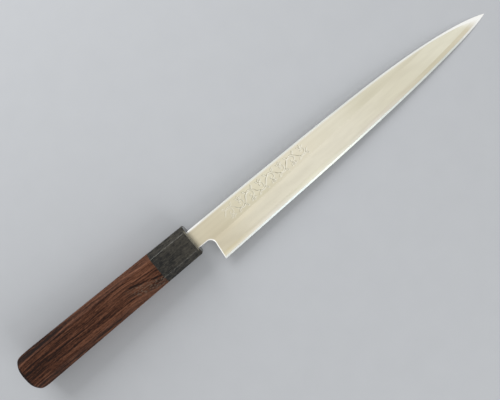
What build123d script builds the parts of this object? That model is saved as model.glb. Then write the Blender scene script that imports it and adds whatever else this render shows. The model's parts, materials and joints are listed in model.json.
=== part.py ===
from build123d import *

import math
import os

os.makedirs("parts", exist_ok=True)

# The knife is drawn in its own axes: X runs from the ferrule's front face towards the tip, Y
# towards the spine and Z out of the bevelled face, with the handle's middle line on X. At the
# end it is laid down as it rests on a table: on the ferrule's lower front edge and on the tip.

# Blade outline, as seen on the bevelled face
blade_length = 241.0
spine_height = 6.0
tip_depth = 8.4
heel_depth = 24.0
heel_setback = 8.1
heel_lean = 2.3
neck_depth = 7.1
notch_radius = 4.0

# Blade section
spine_thickness = 3.8
tip_thickness = 1.7
bevel_width = 15.0
edge_bevel_width = 1.3
edge_bevel_height = 0.4
steel_band_width = 4.3
steel_start = 4.0
spine_slant_width = 0.8
tip_slant_width = 2.6
hollow_rim = 1.7
hollow_radius = 220.0
back_chamfer = 0.25

# Tang
tang_length = 92.0
tang_height = 9.0
tang_end_height = 5.0
tang_end_thickness = 2.4

# Handle and ferrule, which share one eight-sided taper
handle_length = 136.0
ferrule_length = 28.2
front_width = 21.9
front_thickness = 18.4
front_facet = 4.1
butt_width = 25.6
butt_thickness = 21.4
butt_facet = 4.7
ridge_radius = 0.6
ferrule_front_chamfer = 0.9
ferrule_front_wall = 5.0
butt_chamfer = 2.8

# Core dowel, glue lines and the resin round the neck
dowel_radius = 6.4
dowel_length = 98.0
dowel_end_chamfer = 0.8
glue_gap = 0.1
tang_gap = 0.2
bore_end_gap = 1.5
seal_gap = 0.45
seal_corner_radius = 0.6
seal_recess = 0.3

# How far a cutting shape runs past what it cuts
overrun = 2.0

# The spine falls towards the tip in three terms: a gentle slope, the bend and the very point
spine_fall_shares = (0.17, 0.76, 0.07)
spine_fall_powers = (2, 6, 40)
# The edge rises towards the tip in three terms: a straight run, the belly and the very point
edge_rise_shares = (0.46, 0.44, 0.1)
edge_rise_powers = (1, 4, 30)
# How steep the eased corner of the spine is, as drop over width, and how late it widens and flattens
spine_slant_steepness = 1.0
tip_slant_steepness = 0.12
slant_width_power = 10
slant_steepness_power = 3
# Places along the spine, from the ferrule to the tip, and along the edge, from heel to tip
spine_shares = (0.0, 0.2, 0.4, 0.55, 0.68, 0.76, 0.82, 0.88, 0.93, 0.965, 0.985, 1.0)
edge_shares = (0.0, 0.12, 0.28, 0.44, 0.58, 0.7, 0.8, 0.87, 0.92, 0.96, 0.985, 1.0)
# The hollow in the back: places from heel to tip, each with its width there as a share
hollow_place_shares = (0.035, 0.05, 0.08, 0.14, 0.3, 0.5, 0.7, 0.84, 0.91, 0.94)
hollow_width_shares = (0.3, 0.62, 0.85, 1.0, 1.0, 1.0, 1.0, 1.0, 0.85, 0.4)

back_z = -spine_thickness / 2
edge_length = blade_length - heel_setback
edge_rise = heel_depth - tip_depth
spine_fall = spine_height + tip_depth
overrun_share = overrun / blade_length


def blend(start, end, share):
    return start + (end - start) * share


def sum_of_powers(share, parts, powers):
    return sum(part * share**power for part, power in zip(parts, powers))


def past_both_ends(shares):
    """The same places, but from before the first to beyond the last, for a cutting shape."""
    return (-overrun_share, *shares[1:], 1 + overrun_share)


def spine_y(x):
    fall = sum_of_powers(x / blade_length, spine_fall_shares, spine_fall_powers)
    return spine_height - spine_fall * fall


def edge_x(share):
    return heel_setback + edge_length * share


def edge_y(share):
    return -heel_depth + edge_rise * sum_of_powers(share, edge_rise_shares, edge_rise_powers)


def edge_slope(share):
    terms = zip(edge_rise_shares, edge_rise_powers)
    return edge_rise / edge_length * sum(part * power * share ** (power - 1) for part, power in terms)


def blade_thickness(x):
    return blend(spine_thickness, tip_thickness, x / blade_length)


def off_edge(share, distance):
    """A point in plan at a distance off the cutting edge, square to it."""
    slope = edge_slope(share)
    length = math.hypot(1, slope)
    return Vector(edge_x(share) - distance * slope / length, edge_y(share) + distance / length)


def above_edge(share, distance, height):
    """The same point, at a height above the flat back."""
    return off_edge(share, distance) + Vector(0, 0, back_z + height)


def bevel_point(share, distance):
    """A point on the wide bevel, which runs from the edge bevel up to the ridge line."""
    low = above_edge(share, edge_bevel_width, edge_bevel_height)
    ridge = above_edge(share, bevel_width, 0)
    high = above_edge(share, bevel_width, blade_thickness(ridge.X))
    return low + (high - low) * ((distance - edge_bevel_width) / (bevel_width - edge_bevel_width))


def edge_bevel_point(share, distance):
    return above_edge(share, distance, edge_bevel_height * distance / edge_bevel_width)


def room_above(point_at, near, far):
    """All that lies above the straight lines between two rails along the edge."""
    shares = past_both_ends(edge_shares)
    rails = [Spline(*(point_at(share, distance) for share in shares)) for distance in (near, far)]
    sheet = Face.make_surface_from_curves(*rails)
    return Solid.extrude(sheet, Vector(0, 0, spine_thickness + bevel_width))


def side_prism(corners):
    """A solid with the given outline in the plane of X and Z, wider than the blade is tall."""
    outline = make_face(Polyline(*(Vector(x, 0, z) for x, z in corners), close=True))
    return extrude(outline, amount=heel_depth + overrun, both=True)


def make_blank():
    """The flat forging, a little too wide at the edge, with its heel notch, neck and tang."""
    spare = overrun / 2
    tip_end = blade_length + spare
    neck_end = -ferrule_front_wall
    heel_foot = heel_setback - heel_lean * spare / (heel_depth - neck_depth)
    notch_corner = Vector(heel_setback + heel_lean, -neck_depth)
    spine_places = [blade_length * share for share in spine_shares] + [tip_end]
    spine_line = Spline(*(Vector(x, spine_y(x)) for x in spine_places))
    edge_line = Spline(*(off_edge(share, -spare) for share in edge_shares))
    tip_line = Line(spine_line @ 1, edge_line @ 1)
    butt_lines = Polyline(
        edge_line @ 0,
        Vector(heel_foot, -heel_depth - spare),
        notch_corner,
        Vector(neck_end, -neck_depth),
        Vector(neck_end, -tang_height / 2),
        Vector(-tang_length, -tang_end_height / 2),
        Vector(-tang_length, tang_end_height / 2),
        Vector(neck_end, tang_height / 2),
        Vector(neck_end, spine_height),
        spine_line @ 0,
    )
    outline = make_face([spine_line, tip_line, edge_line, *butt_lines.edges()])
    outline = fillet(outline.vertices().sort_by_distance(notch_corner)[0], notch_radius)
    plate = extrude(Pos(0, 0, back_z) * outline, amount=spine_thickness)
    profile = side_prism([
        (neck_end, back_z),
        (tip_end + spare, back_z),
        (tip_end + spare, back_z + blade_thickness(tip_end + spare)),
        (0, -back_z),
        (neck_end, -back_z),
        (-tang_length, tang_end_thickness / 2),
        (-tang_length, -tang_end_thickness / 2),
    ])
    return plate & profile


def blade_top(x, y):
    """Height of the bevelled face above the flat back: the flat, or the bevel below it."""
    share = (x - heel_setback) / edge_length
    distance = (y - edge_y(share)) / math.hypot(1, edge_slope(share))
    climb = (distance - edge_bevel_width) / (bevel_width - edge_bevel_width)
    flat = blade_thickness(x)
    return min(flat, blend(edge_bevel_height, flat, climb))


def spine_slant_room():
    """What the eased corner takes off the spine: steep and narrow, flat and wide at the tip."""
    low, high = [], []
    for share in past_both_ends(spine_shares):
        x = blade_length * share
        top = spine_y(x)
        height = max(top - edge_y((x - heel_setback) / edge_length), 0)
        width = min(blend(spine_slant_width, tip_slant_width, share**slant_width_power), height / 2)
        steepness = blend(spine_slant_steepness, tip_slant_steepness, share**slant_steepness_power)
        inner_z = back_z + blade_top(x, top - width)
        low.append(Vector(x, top + overrun, inner_z - steepness * (width + overrun)))
        high.append(Vector(x, top - width - overrun, inner_z + steepness * overrun))
    sheet = Face.make_surface_from_curves(Spline(*low), Spline(*high))
    return Solid.extrude(sheet, Vector(0, 0, spine_thickness + overrun))


def back_corner_room():
    """What the eased corner takes off the spine on the flat back, fading out at the tip."""
    low, high = [], []
    for share in past_both_ends(spine_shares):
        x = blade_length * share
        size = back_chamfer * max(1 - share, 0)
        high.append(Vector(x, spine_y(x) + overrun, back_z + size + overrun))
        low.append(Vector(x, spine_y(x) - size - overrun, back_z - overrun))
    sheet = Face.make_surface_from_curves(Spline(*low), Spline(*high))
    return Solid.extrude(sheet, Vector(0, 0, -spine_thickness - overrun))


def hollow_section(place, width):
    """One slice of the hollow in the back: an arc of the wheel that ground it."""
    x = edge_x(place)
    low = edge_y(place) + hollow_rim
    high = spine_y(x) - hollow_rim
    half = (high - low) / 2 * width
    middle = (high + low) / 2
    depth = half**2 / (2 * hollow_radius)
    foot = depth + overrun
    reach = math.sqrt(2 * hollow_radius * foot - foot**2)
    arc = ThreePointArc(
        (x, middle - reach, back_z - overrun),
        (x, middle, back_z + depth),
        (x, middle + reach, back_z - overrun),
    )
    return make_face([arc, Line(arc @ 1, arc @ 0)])


def make_hollow():
    return loft([hollow_section(*pair) for pair in zip(hollow_place_shares, hollow_width_shares)])


def make_blade():
    blade = make_blank()
    blade -= room_above(bevel_point, -overrun, bevel_width + overrun)
    blade -= room_above(edge_bevel_point, -overrun, edge_bevel_width + overrun)
    return blade - spine_slant_room() - back_corner_room() - make_hollow()


def steel_room():
    """The layer on the flat back that is hard steel: it comes out on the bevel as a band."""
    band = (steel_band_width - edge_bevel_width) / (bevel_width - edge_bevel_width)
    corners = [(x, back_z + blend(edge_bevel_height, blade_thickness(x), band))
               for x in (blade_length + overrun, steel_start)]
    return side_prism([
        (steel_start, back_z - overrun),
        (blade_length + overrun, back_z - overrun),
        *corners,
    ])


def octagon_corners(x):
    """Corners of the eight-sided section of handle and ferrule, at a place along the axis."""
    share = -x / handle_length
    width = blend(front_width, butt_width, share)
    thickness = blend(front_thickness, butt_thickness, share)
    facet = blend(front_facet, butt_facet, share)
    side, top = width / 2, thickness / 2
    quarter = [(side, top - facet), (side - facet, top)]
    half = quarter + [(-y, z) for y, z in reversed(quarter)]
    return [Vector(x, y, z) for y, z in half + [(-y, -z) for y, z in half]]


def flat_side(*corners):
    return make_face(Polyline(*corners, close=True)).face()


def make_handle_body():
    """Grip and ferrule in one, as they are shaped together, before they are parted and bored."""
    front, back = octagon_corners(0), octagon_corners(-handle_length)
    corners = list(zip(front, back))
    pairs = zip(corners, corners[1:] + corners[:1])
    sides = [flat_side(*here, *reversed(there)) for here, there in pairs]
    body = Solid(Shell([flat_side(*front), *sides, flat_side(*back)]))
    body = chamfer(body.faces().sort_by(Axis.X)[-1].edges(), ferrule_front_chamfer)
    body = chamfer(body.faces().sort_by(Axis.X)[0].edges(), butt_chamfer)
    long_edges = [edge for edge in body.edges() if edge.bounding_box().size.X > handle_length / 2]
    butt_edges = [edge for edge in body.edges()
                  if edge.bounding_box().max.X < butt_chamfer - handle_length + ridge_radius]
    return fillet(long_edges + butt_edges, ridge_radius)


def upright(x):
    """The plane across the knife at a place on its axis: across is Y and up is Z."""
    return Plane(origin=(x, 0, 0), x_dir=(0, 1, 0), z_dir=(1, 0, 0))


def rod(radius, x_start, x_end):
    """A round bar along the handle's axis, from its front end to its back end."""
    return extrude(upright(x_end) * Circle(radius), amount=x_start - x_end)


def neck_slot(x_start, x_end):
    """The slot through the ferrule's closed front, a little larger than the neck."""
    middle = (spine_height - neck_depth) / 2
    height = spine_height + neck_depth + 2 * seal_gap
    width = spine_thickness + 2 * seal_gap
    outline = Pos(middle, 0) * RectangleRounded(height, width, seal_corner_radius)
    return extrude(upright(x_end) * outline, amount=x_start - x_end)


def tang_slot():
    """The tapered slot in the dowel, which follows the tang with a gap all round."""
    slices = []
    for x in (overrun - ferrule_front_wall, -tang_length - tang_gap):
        share = (-ferrule_front_wall - x) / (tang_length - ferrule_front_wall)
        height = blend(tang_height, tang_end_height, share) + 2 * tang_gap
        width = blend(spine_thickness, tang_end_thickness, share) + 2 * tang_gap
        slices.append(upright(x) * Rectangle(height, width))
    return loft(slices, ruled=True)


dowel_front = -ferrule_front_wall
dowel_back = dowel_front - dowel_length

blade = make_blade()
layer = steel_room()
cladding = blade - layer
edge_steel = blade & layer

body = make_handle_body()
joint = Plane(origin=(-ferrule_length, 0, 0), z_dir=(1, 0, 0))
bore = rod(dowel_radius + glue_gap, dowel_front, dowel_back - bore_end_gap)
ferrule = split(body, bisect_by=joint, keep=Keep.TOP) - bore - neck_slot(overrun, dowel_front)
handle = split(body, bisect_by=joint, keep=Keep.BOTTOM) - bore

dowel = rod(dowel_radius, dowel_front, dowel_back)
dowel = chamfer(dowel.edges().sort_by(Axis.X)[0], dowel_end_chamfer)
tang_dowel = dowel - tang_slot()
neck_seal = neck_slot(-seal_recess, dowel_front) - blade

# The knife lies on the lower edge of the ferrule's front, which is the origin, and on its tip
rest_x = -ferrule_front_chamfer
rest_z = -blend(front_thickness, butt_thickness, ferrule_front_chamfer / handle_length) / 2
lean = math.degrees(math.atan2(back_z - rest_z, blade_length - rest_x))
lie_down = Rot(0, lean, 0) * Pos(-rest_x, 0, -rest_z)

nodes = {
    "cladding": cladding,
    "edge_steel": edge_steel,
    "ferrule": ferrule,
    "handle": handle,
    "tang_dowel": tang_dowel,
    "neck_seal": neck_seal,
}
for name, shape in nodes.items():
    export_step(lie_down * shape, f"parts/{name}.step")
print(f"leans {lean:.3f} degrees towards the tip")
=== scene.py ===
import json
import math

import bmesh
import bpy
from mathutils import Matrix, Vector
from mathutils.geometry import delaunay_2d_cdt


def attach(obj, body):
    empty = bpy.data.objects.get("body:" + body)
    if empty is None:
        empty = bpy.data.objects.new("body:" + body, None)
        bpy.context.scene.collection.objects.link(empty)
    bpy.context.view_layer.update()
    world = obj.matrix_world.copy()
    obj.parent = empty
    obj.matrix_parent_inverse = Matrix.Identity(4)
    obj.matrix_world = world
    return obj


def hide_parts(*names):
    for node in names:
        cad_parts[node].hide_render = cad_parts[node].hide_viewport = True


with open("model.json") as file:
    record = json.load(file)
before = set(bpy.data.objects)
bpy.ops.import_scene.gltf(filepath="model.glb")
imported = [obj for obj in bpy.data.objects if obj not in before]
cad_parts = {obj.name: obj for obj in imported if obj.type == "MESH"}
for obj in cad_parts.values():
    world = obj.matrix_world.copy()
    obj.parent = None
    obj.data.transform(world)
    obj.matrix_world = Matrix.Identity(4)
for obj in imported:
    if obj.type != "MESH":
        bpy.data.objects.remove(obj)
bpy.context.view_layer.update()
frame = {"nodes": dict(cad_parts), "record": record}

mm = 0.001
# Corners nearer than this, in metres, are one
same_place = 1e-7

# The knife's own axes: X along the grip towards the tip, Y towards the spine, Z out of the
# bevelled face, from the middle of the ferrule's front face. The sheath mount lies on them.
heel_setback = 8.1
sheath_depth = 9.0
sheath = next(mount for mount in frame["record"]["mounts"] if mount["name"] == "sheath")
along = Vector(sheath["axis"])
across = Vector((0, 1, 0))
outward = along.cross(across)
ferrule_front = Vector(sheath["pos_m"]) - along * heel_setback * mm + across * sheath_depth * mm
knife = Matrix((along, across, outward)).transposed().to_4x4()
knife.translation = ferrule_front
to_knife = knife.inverted()

# Sizes of the knife that its finishes follow, in millimetres
blade_length = 241.0
spine_height = 6.0
spine_fall = 14.4
spine_fall_shares = (0.17, 0.76, 0.07)
spine_fall_powers = (2, 6, 40)
heel_depth = 24.0
heel_lean = 2.3
neck_depth = 7.1
notch_radius = 4.0
edge_rise = 15.6
edge_rise_shares = (0.46, 0.44, 0.1)
edge_rise_powers = (1, 4, 30)
bevel_width = 15.0
spine_slant_width = 0.8
spine_thickness = 3.8
handle_length = 136.0
front_top_width = 13.7
butt_top_width = 16.2


def spine_line(x):
    """The height of the spine at x, a number or a wire."""
    share = x / blade_length
    fall = sum(share**power * part for part, power in zip(spine_fall_shares, spine_fall_powers))
    return fall * -spine_fall + spine_height


def edge_line(x):
    """The height of the cutting edge at x, a number or a wire."""
    share = (x - heel_setback) / (blade_length - heel_setback)
    rise = sum(share**power * part for part, power in zip(edge_rise_shares, edge_rise_powers))
    return rise * edge_rise - heel_depth


# Nodes

class Wire:
    """One output of a node. Arithmetic on wires and numbers adds Math nodes to their tree."""

    def __init__(self, graph, socket):
        self.graph = graph
        self.socket = socket

    def math(self, operation, *values):
        return self.graph.node("ShaderNodeMath", {"operation": operation}, dict(enumerate(values)))

    def __add__(self, other):
        return self.math("ADD", self, other)

    def __sub__(self, other):
        return self.math("SUBTRACT", self, other)

    def __rsub__(self, other):
        return self.math("SUBTRACT", other, self)

    def __mul__(self, other):
        return self.math("MULTIPLY", self, other)

    def __truediv__(self, other):
        return self.math("DIVIDE", self, other)

    def __rtruediv__(self, other):
        return self.math("DIVIDE", other, self)

    def __pow__(self, power):
        return self.math("POWER", self, power)

    def __rpow__(self, base):
        return self.math("POWER", base, self)

    def __mod__(self, other):
        return self.math("MODULO", self, other)

    __radd__ = __add__
    __rmul__ = __mul__

    def sine(self):
        return self.math("SINE", self)

    def cosine(self):
        return self.math("COSINE", self)

    def size(self):
        return self.math("ABSOLUTE", self)

    def sign(self):
        return self.math("SIGN", self)

    def at_least(self, other):
        return self.math("MAXIMUM", self, other)

    def ramp(self, start, end):
        """0 before start, 1 after end and a soft step between them."""
        settings = {"interpolation_type": "SMOOTHSTEP"}
        return self.graph.node("ShaderNodeMapRange", settings, {0: self, 1: start, 2: end})


class Graph:
    """One node tree, of a material, a world or a modifier, as it is built."""

    def __init__(self, tree):
        self.tree = tree

    def node(self, kind, settings=(), values=(), output=0):
        """Adds a node, makes its settings, then fills its sockets with numbers or wires."""
        made = self.tree.nodes.new(kind)
        for name, value in dict(settings).items():
            setattr(made, name, value)
        self.fill(made, values)
        return Wire(self, made.outputs[output])

    def fill(self, node, values):
        for name, value in dict(values).items():
            for part in value if isinstance(value, list) else [value]:
                if isinstance(part, Wire):
                    self.tree.links.new(part.socket, node.inputs[name])
                else:
                    node.inputs[name].default_value = part

    def join(self, x, y, z):
        return self.node("ShaderNodeCombineXYZ", (), {0: x, 1: y, 2: z})

    def split(self, vector):
        return [self.node("ShaderNodeSeparateXYZ", (), {0: vector}, axis) for axis in range(3)]

    def vector(self, operation, first, second):
        return self.node("ShaderNodeVectorMath", {"operation": operation}, {0: first, 1: second})

    def mix(self, share, first, second):
        """A colour between two others."""
        return self.node("ShaderNodeMix", {"data_type": "RGBA"}, {0: share, 6: first, 7: second}, 2)

    def noise(self, place, detail=2.0, roughness=0.5, output=0):
        values = {"Vector": place, "Scale": 1.0, "Detail": detail, "Roughness": roughness}
        return self.node("ShaderNodeTexNoise", (), values, output)

    def stretched_noise(self, place, sizes, detail=2.0, roughness=0.5, shift=0.0):
        """Noise whose grains have these sizes along the three axes, in millimetres."""
        scaled = self.vector("DIVIDE", self.vector("ADD", place, (shift, shift, shift)), sizes)
        return self.noise(scaled, detail, roughness)

    def knife_place(self):
        """The place on the knife in its own axes, in millimetres."""
        values = {"Vector": self.node("ShaderNodeTexCoord", output="Object"), "Scale": (1 / mm,) * 3,
                  "Location": to_knife.translation / mm, "Rotation": to_knife.to_euler()}
        return self.node("ShaderNodeMapping", (), values)

    def seen(self):
        """1 for what the camera sees, straight or in a reflection, and 0 for what lights the scene."""
        camera, glossy, through = [self.node("ShaderNodeLightPath", output=name)
                                   for name in ("Is Camera Ray", "Is Glossy Ray", "Is Transmission Ray")]
        return camera.at_least(glossy).at_least(through)

    def bump(self, height):
        """Relief whose height is in millimetres."""
        return self.node("ShaderNodeBump", (), {"Height": height, "Distance": mm, "Strength": 1.0})


def make_material(name, paint):
    """A material whose shader sockets are filled with what paint gives for its graph."""
    material = bpy.data.materials.new(name)
    material.use_nodes = True
    graph = Graph(material.node_tree)
    graph.fill(material.node_tree.nodes["Principled BSDF"], paint(graph))
    return material


def make_mesh(name, shape, materials):
    """A mesh of the finished shape, with its materials."""
    mesh = bpy.data.meshes.new(name)
    shape.to_mesh(mesh)
    shape.free()
    for material in materials:
        mesh.materials.append(material)
    return mesh


def add_object(name, data):
    made = bpy.data.objects.new(name, data)
    bpy.context.scene.collection.objects.link(made)
    return made


# Steel

# What the engraving leaves on the steel: its cuts, and a highlight painted beside each cut
engraved_marks = ("groove", "burr")

# The colour of each finish at places along the blade, in millimetres from the ferrule
# Besides the steel's own tone these hold painted shade and reflection, darkest by the ferrule
flat_tones = (
    (12, (0.625, 0.570, 0.435)), (50, (0.710, 0.670, 0.525)), (90, (0.750, 0.705, 0.575)),
    (118, (0.735, 0.700, 0.580)), (145, (0.665, 0.632, 0.505)), (180, (0.680, 0.645, 0.520)))
bevel_tones = (
    (12, (0.477, 0.436, 0.336)), (50, (0.559, 0.529, 0.435)), (80, (0.598, 0.569, 0.473)),
    (112, (0.648, 0.617, 0.519)), (170, (0.643, 0.611, 0.495)), (214, (0.722, 0.699, 0.583)))
band_tones = (
    (12, (0.502, 0.454, 0.318)), (50, (0.620, 0.588, 0.496)), (80, (0.673, 0.648, 0.518)),
    (112, (0.650, 0.626, 0.515)), (140, (0.642, 0.603, 0.509)), (195, (0.610, 0.570, 0.440)),
    (222, (0.645, 0.600, 0.470)))
edge_tones = (
    (12, (0.445, 0.460, 0.448)), (70, (0.495, 0.540, 0.540)), (100, (0.600, 0.640, 0.590)),
    (150, (0.725, 0.770, 0.745)), (205, (0.665, 0.695, 0.660)), (228, (0.800, 0.800, 0.770)))
rim_tones = (
    (8, (0.930, 0.930, 0.910)), (16, (0.800, 0.812, 0.780)), (60, (0.735, 0.752, 0.720)),
    (120, (0.700, 0.718, 0.690)), (190, (0.820, 0.835, 0.810)), (228, (0.930, 0.930, 0.910)))
# The tone of the painted highlights: on the spine, round the notch and heel, on the tip and beside the
# cuts
painted_highlight_tone = (0.93, 0.93, 0.91, 1)
# The tone of the painted shade in the engraved cuts
groove_shade_tone = (0.32, 0.295, 0.205, 1)
hollow_tone = (0.635, 0.600, 0.475, 1)
hollow_shade = (0.555, 0.520, 0.400, 1)

# What a finish's red, green and blue are multiplied by where it is mottled, misty or unevenly honed
# The flat's factor also paints shade by its ridge; the bevel's highlight is painted along its ridge
flat_mottle_and_shade = (0.90, 0.89, 0.87)
bevel_mist = (0.945, 0.942, 0.937)
bevel_highlight = (1.13, 1.12, 1.10)
band_mist = (0.95, 0.94, 0.92)
edge_wear = (0.90, 0.90, 0.89)

# Sizes of the lines and clouds in each finish, along, across and outwards, in millimetres
satin_lines = (40.0, 0.12, 0.12)
satin_bands = (90.0, 2.4, 2.4)
satin_clouds = (26.0, 7.0, 7.0)
stone_lines = (14.0, 0.09, 0.09)
crossed_lines = (14.0, 0.13, 0.13)
bevel_clouds = (20.0, 3.6, 3.6)
band_clouds = (12.0, 1.6, 1.6)
honed_lines = (10.0, 0.08, 0.08)
honed_patches = (3.2, 0.9, 0.9)
polish_lines = (20.0, 0.08, 0.08)
wheel_lines = (30.0, 0.14, 0.14)

# How far the lines are turned from the blade's length, in degrees
stone_turn = 68.0
crossed_turn = 52.0
wheel_turn = 90.0

# Places along the blade between which painted shade and highlights change, in millimetres from the ferrule
ridge_shade_rise = (18.0, 30.0)
ridge_shade_fall = (52.0, 74.0)
ridge_glow_rise = (16.0, 30.0)
ridge_glow_fall = (36.0, 62.0)
ridge_glow_end = (70.0, 165.0)
band_glow_end = (140.0, 170.0)
tip_highlight_start = (225.0, 238.5)
# How much sooner the tip's painted highlight starts at the spine, and the least width it reckons with
tip_highlight_lead = 9.0
least_width = 0.5

# Distances from a line of the blade between which the painted shade and highlights along it fade out
notch_fade = (0.25, 0.85)
flat_ridge_fade = (1.6, 4.2)
bevel_ridge_fade = (0.9, 4.8)
spine_fade = (0.1, 1.1)
band_edge_fade = (1.4, 4.2)


def toned(graph, x, stops):
    """A colour that changes along the knife: each stop is a place and its colour there."""
    (last, first), *rest = stops
    colour = (*first, 1)
    for place, tone in rest:
        colour = graph.mix(x.ramp(last, place), colour, (*tone, 1))
        last = place
    return colour


def shaded(graph, share, tone, factors):
    """The tone, multiplied by the factors where the share is 1."""
    return graph.mix(share, tone, graph.vector("MULTIPLY", tone, factors))


def turned(graph, place, degrees):
    values = {"Vector": place, "Rotation": (0, 0, math.radians(degrees))}
    return graph.node("ShaderNodeMapping", (), values)


def steel_finish(graph, tone, roughness, relief):
    """What fills the shader's sockets for bare steel, with its relief in millimetres."""
    return {
        "Base Color": tone,
        "Metallic": 1.0,
        "Roughness": roughness,
        "Normal": graph.bump(relief),
    }


def notch_highlight(x, y):
    """Painted highlight: 1 at the neck's lower edge, round the notch and down the heel, fading to 0
    inwards.
    """
    slope = math.atan2(heel_lean, heel_depth - neck_depth)
    above_neck = y + neck_depth
    past_heel = (x - heel_setback) * math.cos(slope) - (y + heel_depth) * math.sin(slope)
    sides = [(gap + notch_radius).at_least(0.0) for gap in (above_neck, past_heel)]
    return 1 - ((sides[0] ** 2.0 + sides[1] ** 2.0) ** 0.5 - notch_radius).ramp(*notch_fade)


def tip_highlight(graph, place):
    """Where a highlight is painted on the tip: from the spine side first, then the whole point."""
    x, y, _ = graph.split(place)
    upward = (y - edge_line(x)) / (spine_line(x) - edge_line(x)).at_least(least_width)
    return (x + upward * upward * tip_highlight_lead).ramp(*tip_highlight_start)


def paint_flat(graph):
    """The flat above the ridge: satin lines along the blade, the engraving's cut, painted shade and
    highlights.
    """
    place = graph.knife_place()
    x, y, _ = graph.split(place)
    lines = graph.stretched_noise(place, satin_lines)
    bands = graph.stretched_noise(place, satin_bands, shift=7.0)
    clouds = graph.stretched_noise(place, satin_clouds, detail=3.0)
    groove, burr = [graph.node("ShaderNodeAttribute", {"attribute_name": name}, output="Fac")
                    for name in engraved_marks]
    by_ridge = 1 - (y - edge_line(x) - bevel_width).ramp(*flat_ridge_fade)
    spine_side_lighting = 1 - (spine_line(x) - spine_slant_width - y).ramp(*spine_fade)
    ridge_shade = 0.6 + x.ramp(*ridge_shade_rise) * 0.35 - x.ramp(*ridge_shade_fall) * 0.68
    # Mottling from the satin's bands and clouds, and painted shade by the ridge
    mottle_and_light = (bands * 0.5 + clouds * 0.5).ramp(0.36, 0.64) * 0.55 + by_ridge * ridge_shade
    satin = shaded(graph, mottle_and_light, toned(graph, x, flat_tones), flat_mottle_and_shade)
    # Highlights painted along the spine, beside the cuts and round the notch and heel
    lit = graph.mix(spine_side_lighting * 0.5 + burr * 0.55 + notch_highlight(x, y) * 0.8, satin, painted_highlight_tone)
    # The engraved cuts are painted in shade
    tone = graph.mix(groove.ramp(0.25, 0.9), lit, groove_shade_tone)
    roughness = 0.27 + lines * 0.12 + groove * 0.1
    return steel_finish(graph, tone, roughness, relief=lines * 0.0012)


def paint_bevel(graph):
    """The wide bevel: a misty stone finish, with a highlight painted along the ridge."""
    place = graph.knife_place()
    x, y, _ = graph.split(place)
    lines = graph.stretched_noise(turned(graph, place, stone_turn), stone_lines)
    crossed = graph.stretched_noise(turned(graph, place, crossed_turn), crossed_lines, shift=3.0)
    mist = graph.stretched_noise(place, bevel_clouds, detail=4.0)
    # A highlight painted along the ridge, strongest by the heel
    by_ridge = 1 - (edge_line(x) + bevel_width - y).ramp(*bevel_ridge_fade)
    by_heel = 0.65 + x.ramp(*ridge_glow_rise) * 0.35 - x.ramp(*ridge_glow_fall) * 0.55
    glow = by_ridge * (by_heel - x.ramp(*ridge_glow_end) * 0.40)
    misty = shaded(graph, mist.ramp(0.35, 0.65), toned(graph, x, bevel_tones), bevel_mist)
    clear = shaded(graph, glow, misty, bevel_highlight)
    # Painted highlights round the notch and on the tip
    lit = graph.mix(notch_highlight(x, y), clear, painted_highlight_tone)
    tone = graph.mix(tip_highlight(graph, place), lit, painted_highlight_tone)
    roughness = 0.36 + (lines + crossed) * 0.05 + mist * 0.08
    return steel_finish(graph, tone, roughness, relief=lines * 0.0010 + crossed * 0.0008)


def paint_band(graph):
    """The hard steel showing on the bevel: a highlight painted along the edge by the heel, darker at the
    tip.
    """
    place = graph.knife_place()
    x, y, _ = graph.split(place)
    lines = graph.stretched_noise(turned(graph, place, stone_turn), stone_lines)
    mist = graph.stretched_noise(place, band_clouds, detail=4.0)
    # A highlight painted along the edge, fading out towards the tip, and round the notch and on the tip
    by_edge = (1 - (y - edge_line(x)).ramp(*band_edge_fade)) * (1 - x.ramp(*band_glow_end))
    dull = shaded(graph, mist.ramp(0.3, 0.7), toned(graph, x, band_tones), band_mist)
    lit = graph.mix((by_edge * 0.22).at_least(notch_highlight(x, y)), dull, painted_highlight_tone)
    tone = graph.mix(tip_highlight(graph, place), lit, painted_highlight_tone)
    return steel_finish(graph, tone, roughness=0.28 + lines * 0.08, relief=lines * 0.0008)


def paint_edge(graph):
    """The narrow bevel along the cutting edge, honed a little unevenly."""
    place = graph.knife_place()
    x, _, _ = graph.split(place)
    lines = graph.stretched_noise(turned(graph, place, stone_turn), honed_lines)
    uneven = graph.stretched_noise(place, honed_patches, detail=3.0)
    dull = shaded(graph, uneven.ramp(0.3, 0.7), toned(graph, x, edge_tones), edge_wear)
    tone = graph.mix(tip_highlight(graph, place), dull, painted_highlight_tone)
    return steel_finish(graph, tone, roughness=0.18 + lines * 0.10, relief=lines * 0.0004)


def paint_polish(graph):
    """Eased and polished corners: the spine's, the neck's, the notch's and the heel's."""
    place = graph.knife_place()
    x, _, _ = graph.split(place)
    lines = graph.stretched_noise(place, polish_lines)
    # The rim's tones are painted bright at the heel and the tip, as highlights
    tone = toned(graph, x, rim_tones)
    return steel_finish(graph, tone, roughness=0.10 + lines * 0.10, relief=lines * 0.0004)


def paint_hollow(graph):
    """The hollow back: lines of the grinding wheel, straight across the blade."""
    place = graph.knife_place()
    lines = graph.stretched_noise(turned(graph, place, wheel_turn), wheel_lines)
    tone = graph.mix(lines, hollow_tone, hollow_shade)
    return steel_finish(graph, tone, roughness=0.24 + lines * 0.12, relief=lines * 0.0012)


# Horn, wood and resin

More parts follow.
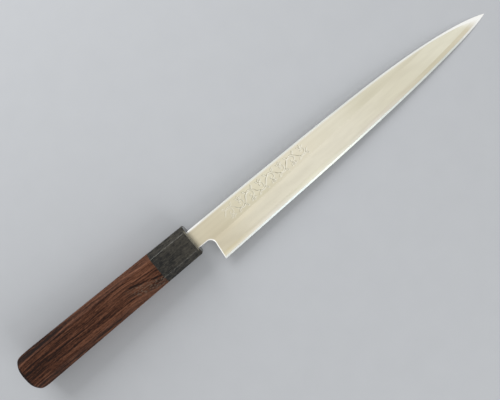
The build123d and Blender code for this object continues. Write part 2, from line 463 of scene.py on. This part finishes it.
horn_black = (0.0020, 0.0020, 0.0019, 1)
horn_cloud = (0.061, 0.055, 0.042, 1)
horn_ridge_highlight = (0.125, 0.120, 0.100, 1)
horn_front_reflection = (0.26, 0.245, 0.19, 1)
wood_brown = (0.226, 0.098, 0.056, 1)
wood_dark = (0.062, 0.0222, 0.0115, 1)
wood_black = (0.0100, 0.0040, 0.0028, 1)
wood_speckle = (0.240, 0.175, 0.130, 1)
pore_and_shade_dark = (0.010, 0.0045, 0.003, 1)
dowel_pale = (0.62, 0.47, 0.30, 1)
dowel_brown = (0.46, 0.32, 0.19, 1)
resin_dark = (0.012, 0.011, 0.010, 1)
resin_grey = (0.03, 0.027, 0.024, 1)

# Sizes of the grains of horn and wood, along, across and outwards, in millimetres
horn_fibres = (7.0, 0.5, 0.5)
horn_clouds = (3.6, 1.7, 1.7)
horn_flecks = (1.6, 0.7, 0.7)
wood_bends = (45.0, 8.0, 8.0)
wood_sway = (9.0, 2.5, 2.5)
wood_jitter = (1.6, 1.6, 1.6)
wood_fibres = (5.5, 0.42, 0.42)
wood_flecks = (1.5, 0.7, 0.7)
wood_pores = (3.4, 0.26, 0.26)
seam_breaks = (3.0, 1.0, 1.0)
dowel_fibres = (20.0, 0.4, 0.4)

# How fast the growth rings' tones change, along and across them, and the rings' middle in Y and Z
broad_rings = (0.012, 0.34)
ring_streaks = (0.036, 0.95)
ring_hairs = (0.045, 1.9)
ring_middle = (45.0, -8.0)

# Places along the ferrule between which its clouds get paler and its front chamfer starts and
# ends, and the heights between which the upper chamfer does
horn_paling = (-28.0, -6.0)
chamfer_start = (-1.0, -0.8)
chamfer_end = (-0.06, -0.01)
chamfer_top = (7.8, 8.2)
# How far from its ridges the horn's painted highlight reaches
ridge_width = 0.45

# A dark seam in the wood's upper face: its end by the ferrule, its fall along X, the places and
# heights between which it starts, and its half width
seam_end = (-29.5, -4.4)
seam_slope = 0.327
seam_start_places = (-57.0, -44.0)
upper_face_heights = (3.0, 7.0)
seam_fade = (0.10, 0.90)
# Heights over the seam between which the speckled patch under it ends and starts
patch_end = (-1.6, -0.4)
patch_start = (-9.0, -6.0)
# Painted shade on the spine side and where it ends, the places between which the wood gets lighter towards
# the ferrule, and the depth of the dark end grain, deepened by painted shade, at the butt
spine_shade_side = (5.0, 9.0)
spine_shade_end = (-104.0, -84.0)
pale_end = (-60.0, -32.0)
end_grain_and_shade_depth = (1.5, 2.7)


def by_ridges(graph, place, width):
    """1 on the long upper and lower ridges of the grip, fading to 0 at this distance from them."""
    x, y, _ = graph.split(place)
    half_top = x * ((front_top_width - butt_top_width) / 2 / handle_length) + front_top_width / 2
    return 1 - (y.size() - half_top).size().ramp(width * 0.3, width)


def paint_horn(graph):
    """Polished black horn with brown and grey clouds, fibres along it and highlights painted on its
    ridges.
    """
    place = graph.knife_place()
    x, _, z = graph.split(place)
    fibres = graph.stretched_noise(place, horn_fibres, detail=4.0)
    clouds = graph.stretched_noise(place, horn_clouds, detail=5.0, roughness=0.65)
    flecks = graph.stretched_noise(place, horn_flecks, shift=5.0)
    cloudy = clouds * 0.6 + fibres * 0.35 + flecks * 0.35 + x.ramp(*horn_paling) * 0.08
    horn = graph.mix(cloudy.ramp(0.545, 0.885), horn_black, horn_cloud)
    # A highlight painted along the ridges, broken up by flecks
    ridge_highlight = by_ridges(graph, place, ridge_width) * flecks.ramp(0.30, 0.62)
    chamfered = x.ramp(*chamfer_start) * (1 - x.ramp(*chamfer_end))
    # A reflection painted on the upper front chamfer, broken up by flecks
    front_reflection = chamfered * z.ramp(*chamfer_top) * (flecks.ramp(0.30, 0.70) * 0.45 + 0.42)
    mottle_and_light = graph.mix(ridge_highlight * 0.6, horn, horn_ridge_highlight)
    return {
        "Base Color": graph.mix(front_reflection, mottle_and_light, horn_front_reflection),
        "Roughness": 0.10 + fibres * 0.08 + chamfered * 0.35,
        "IOR": 1.54,
        "Specular IOR Level": 0.24,
        "Normal": graph.bump(fibres * 0.006),
    }


def ring_noise(graph, x, radius, rates, layer, detail, roughness=0.5):
    """Noise that runs along the wood's growth rings; each layer has a pattern of its own."""
    return graph.noise(graph.join(x * rates[0], radius * rates[1], layer), detail, roughness)


def paint_wood(graph):
    """Dark open-pored wood, cut along the grain, with a knot's edge near the ferrule and painted shade."""
    place = graph.knife_place()
    x, y, z = graph.split(place)
    slow = graph.stretched_noise(place, wood_bends) - 0.5
    sway = graph.stretched_noise(place, wood_sway, shift=4.0) - 0.5
    jitter = graph.stretched_noise(place, wood_jitter, shift=6.0) - 0.5
    seam = y + (x - seam_end[0]) * seam_slope - seam_end[1] + sway * 1.2 + jitter * 1.1
    seam_start = x.ramp(*seam_start_places) * z.ramp(*upper_face_heights)
    by_seam = seam_start * (x - seam_start_places[0]) * 0.10
    bent = graph.join(x, y + slow * 3.0 + sway * 0.7 + by_seam, z + slow * 2.0)
    _, bent_y, bent_z = graph.split(bent)
    radius = ((bent_y - ring_middle[0]) ** 2.0 + (bent_z - ring_middle[1]) ** 2.0) ** 0.5
    broad = ring_noise(graph, x, radius, broad_rings, layer=2.0, detail=1.0)
    streaks = ring_noise(graph, x, radius, ring_streaks, layer=5.0, detail=3.0, roughness=0.65)
    hairs = ring_noise(graph, x, radius, ring_hairs, layer=8.0, detail=2.0, roughness=0.6)
    fine = graph.stretched_noise(bent, wood_fibres, detail=3.0, roughness=0.6)
    flecks = graph.stretched_noise(bent, wood_flecks, shift=9.0)
    pores = graph.stretched_noise(bent, wood_pores, detail=1.0, shift=11.0).ramp(0.60, 0.70)
    broken = graph.stretched_noise(place, seam_breaks, shift=13.0).ramp(0.36, 0.60) * 0.75 + 0.25
    dark_seam = (1 - seam.size().ramp(*seam_fade)) * seam_start * broken
    patch = seam_start * (1 - seam.ramp(*patch_end)) * seam.ramp(*patch_start)
    # Painted shade on the spine side, towards the butt
    spine_side_lighting = y.ramp(*spine_shade_side) * (1 - x.ramp(*spine_shade_end))
    dark = (broad * 0.75 + streaks * 1.00 + hairs * 0.50 + fine * 0.42 + flecks * 0.33 + dark_seam * 0.32
            + spine_side_lighting * 0.14 - patch * 0.02 - x.ramp(*pale_end) * 0.02)
    middle = graph.mix(dark.ramp(1.08, 1.60), wood_brown, wood_dark)
    brown = graph.mix(dark.ramp(1.46, 1.70), middle, wood_black)
    speckled = graph.mix(patch * flecks.ramp(0.50, 0.60) * 0.40, brown, wood_speckle)
    # Darker end grain at the butt, deepened with painted shade
    end_grain_and_shade = 1 - (x + handle_length).ramp(*end_grain_and_shade_depth)
    shade = (pores * 0.6).at_least(end_grain_and_shade * 0.95)
    return {
        "Base Color": graph.mix(shade, speckled, pore_and_shade_dark),
        "Roughness": 0.48 + fine * 0.14 + pores * 0.2,
        "Specular IOR Level": 0.11,
        "Normal": graph.bump(fine * 0.014 - pores * 0.05),
    }


def paint_pale_wood(graph):
    place = graph.knife_place()
    fibres = graph.stretched_noise(place, dowel_fibres, detail=3.0)
    return {
        "Base Color": graph.mix(fibres, dowel_pale, dowel_brown),
        "Roughness": 0.6 + fibres * 0.1,
        "Normal": graph.bump(fibres * 0.02),
    }


def paint_resin(graph):
    place = graph.knife_place()
    grain = graph.noise(place, detail=3.0)
    return {
        "Base Color": graph.mix(grain, resin_dark, resin_grey),
        "Roughness": 0.45 + grain * 0.2,
        "Normal": graph.bump(grain * 0.05),
    }


# The blade's finishes, in the order of their slots
blade_finishes = {
    "satin_flat_steel": paint_flat,
    "misty_bevel_steel": paint_bevel,
    "polished_corner_steel": paint_polish,
    "hard_steel_band": paint_band,
    "ground_hollow_steel": paint_hollow,
    "honed_edge_steel": paint_edge,
}
blade_steels = [make_material(name, paint) for name, paint in blade_finishes.items()]
flat_slot, bevel_slot, polish_slot, band_slot, hollow_slot, edge_slot = range(len(blade_steels))

wood = make_material("dark_open_grained_wood", paint_wood)
for node, name, paint in (
    ("ferrule", "polished_horn", paint_horn),
    ("tang_dowel", "pale_dowel_wood", paint_pale_wood),
    ("neck_seal", "neck_resin", paint_resin),
):
    cad_piece = frame["nodes"][node]
    cad_piece.data.materials.clear()
    cad_piece.data.materials.append(make_material(name, paint))


# Engraving: a vine scroll, cut into the flat above the ridge

# The scroll's sizes in millimetres, the turns of its tendrils and its leaves' turns in degrees
engraving_start = 25.5
engraving_end = 94.5
half_waves = 8
wave_height = 3.4
tendril_radius = 4.7
tendril_drop = 0.6
tendril_turns = 1.3
tendril_shrink = 0.635
leaf_length = 2.7
leaf_width = 1.0
leaf_bend = 0.35
palmette_leaves = 3
palmette_place = -2.3
palmette_fan = 48.0
crest_leaf_place = (2.1, 2.75)
crest_leaf_turn = 50.0
# The widths of the lines of the stem, the tendrils and the leaves
line_widths = (0.72, 0.64, 0.53)
stem_points = 500
tendril_points = 90
leaf_points = 41
groove_highlight_shift = (-0.36, 0.50, 0)
groove_highlight_spread = 1.1
groove_depth = 0.09
# How far the hand strays from the design, and how often in a millimetre
wobble = 0.5
wobble_rate = 0.35
# The tool's pressure makes the lines narrower and wider: how often in a millimetre, and the
# least share of their widths and what it adds to it
press_rate = 0.9
least_press = 0.65
press_range = 0.7
# Places between which the lines grow from half to full depth
faint_start = (22.0, 46.0)
design_half_height = 6.8


def drawn_line(graph, points, rule):
    """A line of points, placed by a rule that takes each one's share of the way along it."""
    line = graph.node("GeometryNodeMeshLine", (), {"Count": points, "Offset": (0, 0, 0)})
    share = graph.node("GeometryNodeInputIndex") / (points - 1)
    values = {"Geometry": line, "Position": graph.join(*rule(share), 0)}
    return graph.node("GeometryNodeSetPosition", (), values)


def repeated(graph, figure, points, turn):
    """The figure set on each of the points, turned by the rule's angles for the point's number."""
    number = graph.node("GeometryNodeInputIndex")
    values = {"Points": points, "Instance": figure, "Rotation": graph.join(*turn(number))}
    return graph.node("GeometryNodeInstanceOnPoints", (), values)


def draw_stem(graph, length):
    def rule(share):
        return share * length, (share * (math.pi * half_waves)).sine() * wave_height
    return drawn_line(graph, stem_points, rule)


def draw_tendril(graph):
    def rule(share):
        angle = math.pi - share * (math.tau * tendril_turns)
        radius = tendril_shrink ** (share * (4 * tendril_turns)) * tendril_radius
        return angle.cosine() * radius, angle.sine() * radius - tendril_drop
    return drawn_line(graph, tendril_points, rule)


def draw_leaf(graph):
    def rule(share):
        reach = 1 - (share * 2 - 1).size()
        side = (0.5 - share).sign() * (reach * math.pi).sine() * (leaf_width / 2)
        return reach * leaf_length, side + reach * reach * leaf_bend
    return drawn_line(graph, leaf_points, rule)


def draw_palmette(graph, leaf):
    """Three leaves that fan out downwards from one point."""
    base = drawn_line(graph, palmette_leaves, lambda share: (0, palmette_place))
    fan = math.radians(palmette_fan)
    return repeated(graph, leaf, base, lambda number: (0, 0, number * fan - (math.pi / 2 + fan)))


def draw_crest_leaves(graph, leaf):
    """Two leaves on the outer side of a crest, to its left and right."""
    reach, height = crest_leaf_place
    base = drawn_line(graph, 2, lambda share: (share * (2 * reach) - reach, height))
    first = math.radians(180 - crest_leaf_turn)
    turn = math.radians(180 - 2 * crest_leaf_turn)
    return repeated(graph, leaf, base, lambda number: (0, 0, first - number * turn))


def grow_scroll(graph, length):
    """The stem, the tendrils and the leaves of the scroll, as three sets of lines."""
    half_wave = length / half_waves

    def middle(share):
        return share * (length - half_wave) + half_wave / 2, 0

    def turn_over(number):
        return (number % 2) * math.pi, 0, 0

    middles = drawn_line(graph, half_waves, middle)
    leaf = draw_leaf(graph)
    leaves = [draw_palmette(graph, leaf), draw_crest_leaves(graph, leaf)]
    return (
        draw_stem(graph, length),
        repeated(graph, draw_tendril(graph), middles, turn_over),
        repeated(graph, graph.node("GeometryNodeJoinGeometry", (), {0: leaves}), middles, turn_over),
    )


def near_lines(graph, lines, spot, spread):
    """1 on the scroll's lines, fading to 0 at half a line's width times the spread."""
    most = 0.0
    for drawn, width in zip(lines, line_widths):
        values = {"Geometry": drawn, "Sample Position": spot}
        gap = graph.node("GeometryNodeProximity", {"target_element": "EDGES"}, values, "Distance")
        most = (1 - (gap / (spread * (width / 2))).ramp(0.0, 1.0)).at_least(most)
    return most


def build_engraving_tree():
    """Presses the scroll's lines into the flat that the modifier sits on, as grooves."""
    tree = bpy.data.node_groups.new("engraved_scroll", "GeometryNodeTree")
    tree.is_modifier = True
    tree.interface.new_socket("Geometry", in_out="OUTPUT", socket_type="NodeSocketGeometry")
    tree.interface.new_socket("Geometry", in_out="INPUT", socket_type="NodeSocketGeometry")
    for name in ("Start", "Length", "Groove Depth"):
        tree.interface.new_socket(name, in_out="INPUT", socket_type="NodeSocketFloat")
    tree.interface.new_socket("Material", in_out="INPUT", socket_type="NodeSocketMaterial")
    graph = Graph(tree)
    given = {socket.name: Wire(graph, socket) for socket in tree.nodes.new("NodeGroupInput").outputs}
    place = graph.vector("MULTIPLY", graph.node("GeometryNodeInputPosition"), (1 / mm,) * 3)
    x, y, _ = graph.split(place)
    top = spine_line(x) - spine_slant_width
    low = edge_line(x) + bevel_width
    level = (y - (top + low) / 2) / (top - low) * (2 * design_half_height)
    flat = graph.join(x - given["Start"] / mm, level, 0)
    hand = graph.noise(graph.vector("MULTIPLY", place, (wobble_rate,) * 3), output=1)
    stray = graph.vector("SUBTRACT", hand, (0.5, 0.5, 0.5))
    spot = graph.vector("ADD", flat, graph.vector("MULTIPLY", stray, (wobble * 2, wobble * 2, 0)))
    beside = graph.vector("ADD", spot, groove_highlight_shift)
    tool = graph.noise(graph.vector("MULTIPLY", place, (press_rate,) * 3))
    press = tool * press_range + least_press
    lines = [graph.node("GeometryNodeRealizeInstances", (), {0: part})
             for part in grow_scroll(graph, given["Length"] / mm)]
    depth = x.ramp(*faint_start) * 0.5 + 0.5
    # The second mark, shifted beside each line, is where a highlight is painted
    marks = [near_lines(graph, lines, where, press * spread) * depth
             for where, spread in ((spot, 1.0), (beside, groove_highlight_spread))]
    carved = given["Geometry"]
    for name, mark in zip(engraved_marks, marks):
        values = {"Geometry": carved, "Name": name, "Value": mark}
        settings = {"data_type": "FLOAT", "domain": "POINT"}
        carved = graph.node("GeometryNodeStoreNamedAttribute", settings, values)
    cut_down = graph.join(0, 0, marks[0] * given["Groove Depth"] * -1)
    carved = graph.node("GeometryNodeSetPosition", (), {"Geometry": carved, "Offset": cut_down})
    real = graph.node("GeometryNodeRealizeInstances", (), {0: carved})
    finished = graph.node("GeometryNodeSetMaterial", (), {"Geometry": real, "Material": given["Material"]})
    graph.tree.links.new(finished.socket, tree.nodes.new("NodeGroupOutput").inputs[0])
    return tree


# The patch under the engraving: its gap to the ridge and to the spine, and its overrun at the ends
patch_margin = 0.3
patch_overrun = 2.0
patch_columns = 600
patch_rows = 108
# Faces whose normals differ by less than this, in degrees, lie in one plane
plane_tolerance = 0.2
# Corners of the joint round the patch that lie nearer than this, in millimetres, are one
joint_tolerance = 1e-6


def make_engraved_patch():
    """A fine grid over the middle of the flat, in the flat's own plane, with its grooves."""
    corners = []
    length = engraving_end - engraving_start + 2 * patch_overrun
    for column in range(patch_columns + 1):
        x = engraving_start - patch_overrun + length * column / patch_columns
        low = edge_line(x) + bevel_width + patch_margin
        top = spine_line(x) - spine_slant_width - patch_margin
        for row in range(patch_rows + 1):
            corners.append((x * mm, (low + (top - low) * row / patch_rows) * mm, 0))
    stride = patch_rows + 1
    quads = [(start, start + stride, start + stride + 1, start + 1)
             for column in range(patch_columns)
             for start in range(column * stride, column * stride + patch_rows)]
    mesh = bpy.data.meshes.new("engraved_patch")
    mesh.from_pydata(corners, [], quads)
    patch = add_object("engraved_patch", mesh)
    modifier = patch.modifiers.new("engraving", "NODES")
    modifier.node_group = build_engraving_tree()
    sizes = {"Start": engraving_start * mm, "Length": (engraving_end - engraving_start) * mm,
             "Groove Depth": groove_depth * mm, "Material": blade_steels[flat_slot]}
    for socket in modifier.node_group.interface.items_tree:
        if socket.name in sizes:
            modifier[socket.identifier] = sizes[socket.name]
    depsgraph = bpy.context.evaluated_depsgraph_get()
    carved = bpy.data.meshes.new_from_object(patch.evaluated_get(depsgraph))
    bpy.data.objects.remove(patch)
    return carved


def perimeter(columns, rows):
    """The numbers of the grid's outer points, in order round it."""
    stride = rows + 1
    left = list(range(rows))
    top = [column * stride + rows for column in range(columns)]
    right = [columns * stride + row for row in range(rows, 0, -1)]
    low = [column * stride for column in range(columns, 0, -1)]
    return left + top + right + low


def in_order(edges):
    """The corners along a closed chain of edges, in order round it."""
    beside = {}
    for edge in edges:
        for corner in edge.verts:
            beside.setdefault(corner, []).append(edge.other_vert(corner))
    chain = [edges[0].verts[0], edges[0].verts[1]]
    while len(chain) < len(edges):
        first, second = beside[chain[-1]]
        chain.append(second if first == chain[-2] else first)
    return chain


def set_in_patch(shape, patch):
    """Puts the fine patch into the blade's flat face, joined to it all round."""
    layers = [shape.verts.layers.float.new(name) for name in engraved_marks]
    flats = [face for face in shape.faces if face.material_index == flat_slot
             and face.normal.z > level_limit and (to_knife @ face.calc_center_median()).x > 0]
    widest = max(flats, key=lambda face: face.calc_area())
    normal = widest.normal.copy()
    flats = [face for face in flats if face.normal.angle(normal) < math.radians(plane_tolerance)]
    inside = set(flats)
    border = [edge for edge in shape.edges if len(inside.intersection(edge.link_faces)) == 1]
    corners = in_order(border)
    plane = Matrix((across.cross(normal), across, normal)).transposed().to_4x4()
    height = (widest.calc_center_median() - ferrule_front).dot(normal)
    plane.translation = ferrule_front + normal * height
    to_plane = plane.inverted()
    fine = [shape.verts.new(plane @ point.co) for point in patch.vertices]
    for name, layer in zip(engraved_marks, layers):
        for made, mark in zip(fine, patch.attributes[name].data):
            made[layer] = mark.value
    for polygon in patch.polygons:
        face = shape.faces.new([fine[index] for index in polygon.vertices])
        face.material_index = flat_slot
        face.smooth = True
    ring = [fine[index] for index in perimeter(patch_columns, patch_rows)]
    points = corners + ring
    loops = [list(range(len(corners))), list(range(len(corners), len(points)))]
    bmesh.ops.delete(shape, geom=flats, context="FACES_ONLY")
    laid = [(to_plane @ corner.co).to_2d() / mm for corner in points]
    _, _, faces, originals, _, _ = delaunay_2d_cdt(laid, [], loops, 2, joint_tolerance)
    for face in faces:
        made = shape.faces.new([points[originals[index][0]] for index in face])
        made.material_index = flat_slot
        made.smooth = True
        made.normal_update()


# Blade

# Limits of a face normal's Z: past the first a face looks up or down, within the second it leans
# like a corner, and within the third it is an upright wall
up_limit = 0.9
level_limit = 0.5
wall_limit = 0.3
# A face leaves the flat when its normal leans past the first, and is honed edge past the second
flat_lean = 0.04
steep_edge = 0.27
# The height of the hollow's lower faces over the blade's back
hollow_start = 0.004
# The eased corner: its width, its reach from the ferrule, and the heights that it stays under
heel_round = 0.2
heel_reach = 11.0
neck_top = -5.0
band_top = -19.8
# Folds of less than this many degrees look smooth
soft_fold = 15.0


def merged_copy(node):
    """The node's mesh with its loose triangles joined up, in a mesh of its own."""
    shape = bmesh.new()
    shape.from_mesh(frame["nodes"][node].data)
    bmesh.ops.remove_doubles(shape, verts=shape.verts, dist=same_place)
    return shape


def cladding_finish(normal, centre):
    if normal.z < -up_limit:
        return flat_slot
    if normal.z < level_limit or normal.y > flat_lean:
        return polish_slot
    return bevel_slot if normal.y < -flat_lean else flat_slot


def edge_steel_finish(normal, centre):
    if normal.z < -level_limit:
        return hollow_slot if centre.z > hollow_start - spine_thickness / 2 else flat_slot
    if normal.z < level_limit or normal.y > 0:
        return polish_slot
    return band_slot if math.hypot(normal.x, normal.y) < steep_edge else edge_slot


def finish_faces(shape, finish_of):
    """Gives each face the steel finish of its place."""
    turn = to_knife.to_3x3()
    for face in shape.faces:
        centre = to_knife @ face.calc_center_median() / mm
        face.material_index = finish_of((turn @ face.normal).normalized(), centre)
        face.smooth = True


def round_heel(shape, top):
    """Eases the upper corner of the blade's end below this height: neck, notch and heel."""
    corners = []
    for edge in shape.edges:
        middle = to_knife @ ((edge.verts[0].co + edge.verts[1].co) / 2) / mm
        heights = sorted(face.normal.z for face in edge.link_faces)
        if 0.0 < middle.x < heel_reach and middle.y < top and heights[0] > -wall_limit:
            if heights[0] < wall_limit and heights[-1] > up_limit:
                corners.append(edge)
    bmesh.ops.bevel(shape, geom=corners, offset=heel_round * mm, offset_type="OFFSET", segments=3,
                    profile=0.5, affect="EDGES", material=polish_slot, clamp_overlap=True)
    for face in shape.faces:
        face.smooth = True


def mark_corners(shape):
    """Keeps the lines between finishes and at corners sharp."""
    for edge in shape.edges:
        sides = [face.material_index for face in edge.link_faces]
        gentle = edge.calc_face_angle(math.pi) < math.radians(soft_fold)
        edge.smooth = len(set(sides)) == 1 and (gentle or sides[0] == flat_slot)


def make_piece(name, shape, materials, node):
    piece = add_object(name, make_mesh(name, shape, materials))
    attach(piece, "root")
    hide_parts(node)


blade_core = merged_copy("cladding")
finish_faces(blade_core, cladding_finish)
set_in_patch(blade_core, make_engraved_patch())
round_heel(blade_core, neck_top)
mark_corners(blade_core)
make_piece("blade_cladding", blade_core, blade_steels, "cladding")

edge_layer = merged_copy("edge_steel")
finish_faces(edge_layer, edge_steel_finish)
round_heel(edge_layer, band_top)
mark_corners(edge_layer)
make_piece("blade_edge_steel", edge_layer, blade_steels, "edge_steel")


# Handle

# The rounded end: its reach along the handle, its rings, and how square it is in width, in
# height and at its corners
dome_depth = 9.0
dome_rings = 36
dome_width_power = 5
dome_height_power = 12
dome_corner_power = 2.6
# The longest step round its rim
rim_step = 1.0
# Ridges of less than this many degrees look smooth, on the facets and on the rounded end
soft_ridge = 3.0
soft_dome_ridge = 10.0


def split_rim(edges):
    """Divides each edge of the cut into short ones and gives all of them."""
    made = list(edges)
    for edge in edges:
        parts = math.ceil(edge.calc_length() / (rim_step * mm))
        corner = edge.verts[0]
        for left in range(parts, 1, -1):
            piece, corner = bmesh.utils.edge_split(edge, corner, 1 / left)
            made.append(piece)
    return made


def dome_butt(shape):
    """Cuts the chamfered butt off and closes the handle again with a softly rounded end.

    Towards the end its eight corners melt into a rounder outline of the same width and height."""
    start = knife @ Vector(((dome_depth - handle_length) * mm, 0, 0))
    everything = shape.verts[:] + shape.edges[:] + shape.faces[:]
    cut = bmesh.ops.bisect_plane(shape, geom=everything, dist=same_place, plane_co=start,
                                 plane_no=-along, clear_outer=True)
    sides = [item for item in cut["geom_cut"] if isinstance(item, bmesh.types.BMEdge)]
    rim = in_order(split_rim(sides))
    places = [to_knife @ corner.co for corner in rim]
    half_width, half_height = [max(place[axis] for place in places) for axis in (1, 2)]
    melted = [(abs(y / half_width) ** dome_corner_power + abs(z / half_height) ** dome_corner_power)
              ** (-1 / dome_corner_power) for _, y, z in places]
    ring = rim
    for step in range(1, dome_rings):
        reach = math.sin(math.pi / 2 * step / dome_rings) ** (2 / dome_width_power)
        across_share, height_share = [(1 - reach**power) ** (1 / power)
                                      for power in (dome_width_power, dome_height_power)]
        inner = []
        for (x, y, z), share in zip(places, melted):
            pull = 1 + (share - 1) * reach**2
            spot = Vector((x - reach * dome_depth * mm, y * across_share * pull, z * height_share * pull))
            inner.append(shape.verts.new(knife @ spot))
        for first, second, third, fourth in zip(ring, ring[1:] + ring[:1], inner[1:] + inner[:1], inner):
            shape.faces.new((first, second, third, fourth))
        ring = inner
    end = shape.verts.new(knife @ Vector((-handle_length * mm, 0, 0)))
    for first, second in zip(ring, ring[1:] + ring[:1]):
        shape.faces.new((first, second, end))
    bmesh.ops.recalc_face_normals(shape, faces=shape.faces)


def mark_ridges(shape):
    """Keeps the handle's facets flat up to their ridges, and its rounded end smooth."""
    for face in shape.faces:
        face.smooth = True
    for edge in shape.edges:
        ends = [to_knife @ corner.co for corner in edge.verts]
        on_dome = min(ends[0].x, ends[1].x) < (dome_depth - handle_length) * mm - same_place
        round_the_dome = on_dome and abs(ends[0].x - ends[1].x) < same_place
        gentle = math.radians(soft_dome_ridge if on_dome else soft_ridge)
        edge.smooth = round_the_dome or edge.calc_face_angle(math.pi) < gentle


grip = merged_copy("handle")
dome_butt(grip)
mark_ridges(grip)
make_piece("handle_grip", grip, [wood], "handle")


# Floor, light and camera

backdrop_tone = (0.98, 0.98, 0.97, 1)
black = (0, 0, 0, 1)
floor_tones = ((0.60, 0.62, 0.65, 1), (0.63, 0.65, 0.68, 1))
floor_grain_rate = 60.0
floor_radius = 6.0
# Distances from the knife, in metres, between which the floor fades into the backdrop
fade_places = (0.45, 2.2)
# How strongly the room lights the knife, and how bright it is to look at
ambient_strength = 0.45
shown_strength = 1.0

# Each lamp's place and size in metres and its power in watts
softboxes = (
    ("spine_side_softbox", (0.00, 0.75, 0.46), 0.60, 4.6),
    ("edge_side_softbox", (0.10, -0.78, 0.44), 0.60, 2.4),
    ("tip_side_softbox", (0.95, 0.05, 0.22), 0.35, 0.3),
)
blade_middle = Vector((0.06, 0, 0))

camera_place = Vector((52.09, 16.36, 357.26)) * mm
camera_aim = Vector((45.50, -4.82, 0)) * mm
picture_turn = math.radians(-39.63)
sensor_width = 36.0
lens_length = 38.88


def paint_floor(graph):
    """A pale matt floor that fades into the pale backdrop far from the knife."""
    place = graph.node("ShaderNodeTexCoord", output="Object")
    grain = graph.noise(graph.vector("MULTIPLY", place, (floor_grain_rate,) * 3), detail=3.0)
    x, y, _ = graph.split(place)
    fade = ((x * x + y * y) ** 0.5).ramp(*fade_places) * graph.seen()
    return {
        "Base Color": graph.mix(fade, graph.mix(grain, *floor_tones), black),
        "Roughness": 0.9,
        "Specular IOR Level": 0.1,
        "Emission Color": graph.mix(fade, black, backdrop_tone),
        "Emission Strength": 1.0,
    }


def lay_floor():
    shape = bmesh.new()
    bmesh.ops.create_circle(shape, cap_ends=True, segments=96, radius=floor_radius)
    floor = add_object("floor", make_mesh("floor", shape, [make_material("pale_floor", paint_floor)]))


def fill_room():
    """A pale world that the camera and reflections see brighter than it lights the knife."""
    world = bpy.data.worlds.new("pale_room")
    bpy.context.scene.world = world
    world.use_nodes = True
    room = Graph(world.node_tree)
    room.fill(world.node_tree.nodes["Background"], {
        "Color": backdrop_tone,
        "Strength": ambient_strength + room.seen() * (shown_strength - ambient_strength),
    })


def add_softbox(name, place, size, power, target):
    """A square area lamp at a place, turned to shine at a target."""
    lamp = bpy.data.lights.new(name, "AREA")
    lamp.size = size
    lamp.energy = power
    holder = add_object(name, lamp)
    holder.location = place
    holder.rotation_euler = (target - Vector(place)).to_track_quat("-Z", "Y").to_euler()


def set_camera():
    """The photo's view, from above the knife, with the picture turned about the line of sight."""
    backward = (camera_place - camera_aim).normalized()
    level = Vector((math.cos(picture_turn), math.sin(picture_turn), 0))
    rightward = (level - backward * level.dot(backward)).normalized()
    turn = Matrix((rightward, backward.cross(rightward), backward)).transposed().to_4x4()
    lens = bpy.data.cameras.new("photo_camera")
    lens.sensor_width = sensor_width
    lens.lens = lens_length
    camera = add_object("photo_camera", lens)
    camera.matrix_world = Matrix.Translation(camera_place) @ turn
    bpy.context.scene.camera = camera


lay_floor()
fill_room()
for name, place, size, power in softboxes:
    add_softbox(name, place, size, power, blade_middle)
set_camera()
bpy.context.scene.view_settings.view_transform = "Standard"
